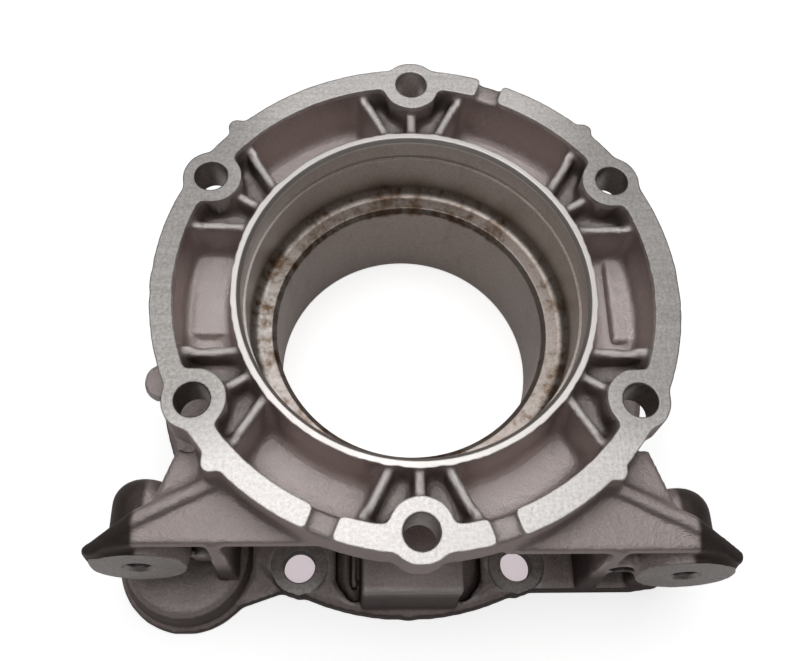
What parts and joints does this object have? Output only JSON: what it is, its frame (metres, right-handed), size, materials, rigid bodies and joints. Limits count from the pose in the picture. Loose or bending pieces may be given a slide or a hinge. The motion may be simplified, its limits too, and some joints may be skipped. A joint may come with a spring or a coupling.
{
  "type": "transmission tail housing",
  "caption": "Cast tail housing with a ribbed bolt flange, stepped through bore, rear joint flange and two arms that end in mounting pads.",
  "frame": {"origin": "on the bore axis at the rear joint face", "axes": "+Z along the bore towards the front joint face, +X across the two arms towards the one with the locating hole, -Y the way the mounting pads face"},
  "size_m": [0.2075, 0.1894, 0.08],
  "materials": {
    "cast_aluminium": "as cast, machined bright on the joint faces, bores and pads"
  },
  "bodies": {
    "root": {"tail_housing": "cast_aluminium"}
  },
  "joints": []
}
